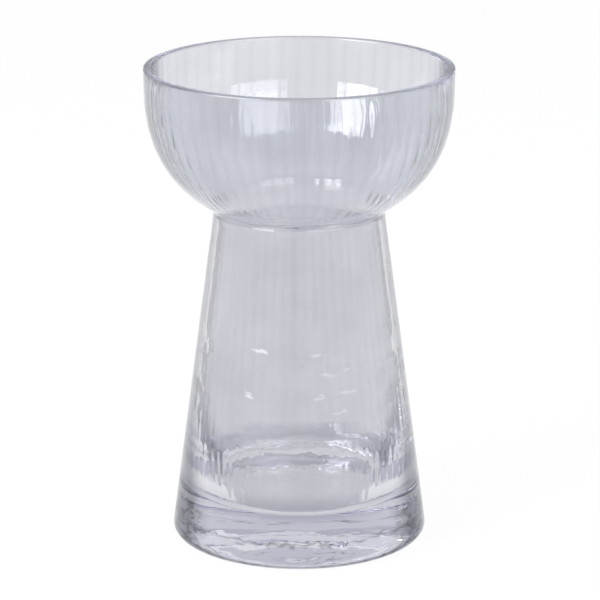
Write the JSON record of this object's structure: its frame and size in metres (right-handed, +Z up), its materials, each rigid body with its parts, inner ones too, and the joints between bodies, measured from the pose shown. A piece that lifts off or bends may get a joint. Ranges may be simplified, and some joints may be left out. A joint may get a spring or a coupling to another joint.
{
  "type": "hyacinth forcing vase",
  "caption": "Clear glass bulb vase: a round cup with a cut rim on a pinched waist, above a flared flask for water with a thick, heavy foot.",
  "frame": {"origin": "centre of the ring that the foot stands on, in the plane of the table", "axes": "+Z up along the vase's axis, towards the rim; the vase is round, so +X and +Y are free"},
  "size_m": [0.1, 0.1, 0.157],
  "materials": {
    "clear_glass": "polished"
  },
  "bodies": {
    "root": {"heavy_foot": "clear_glass", "water_flask": "clear_glass", "bulb_cup": "clear_glass"}
  },
  "joints": []
}
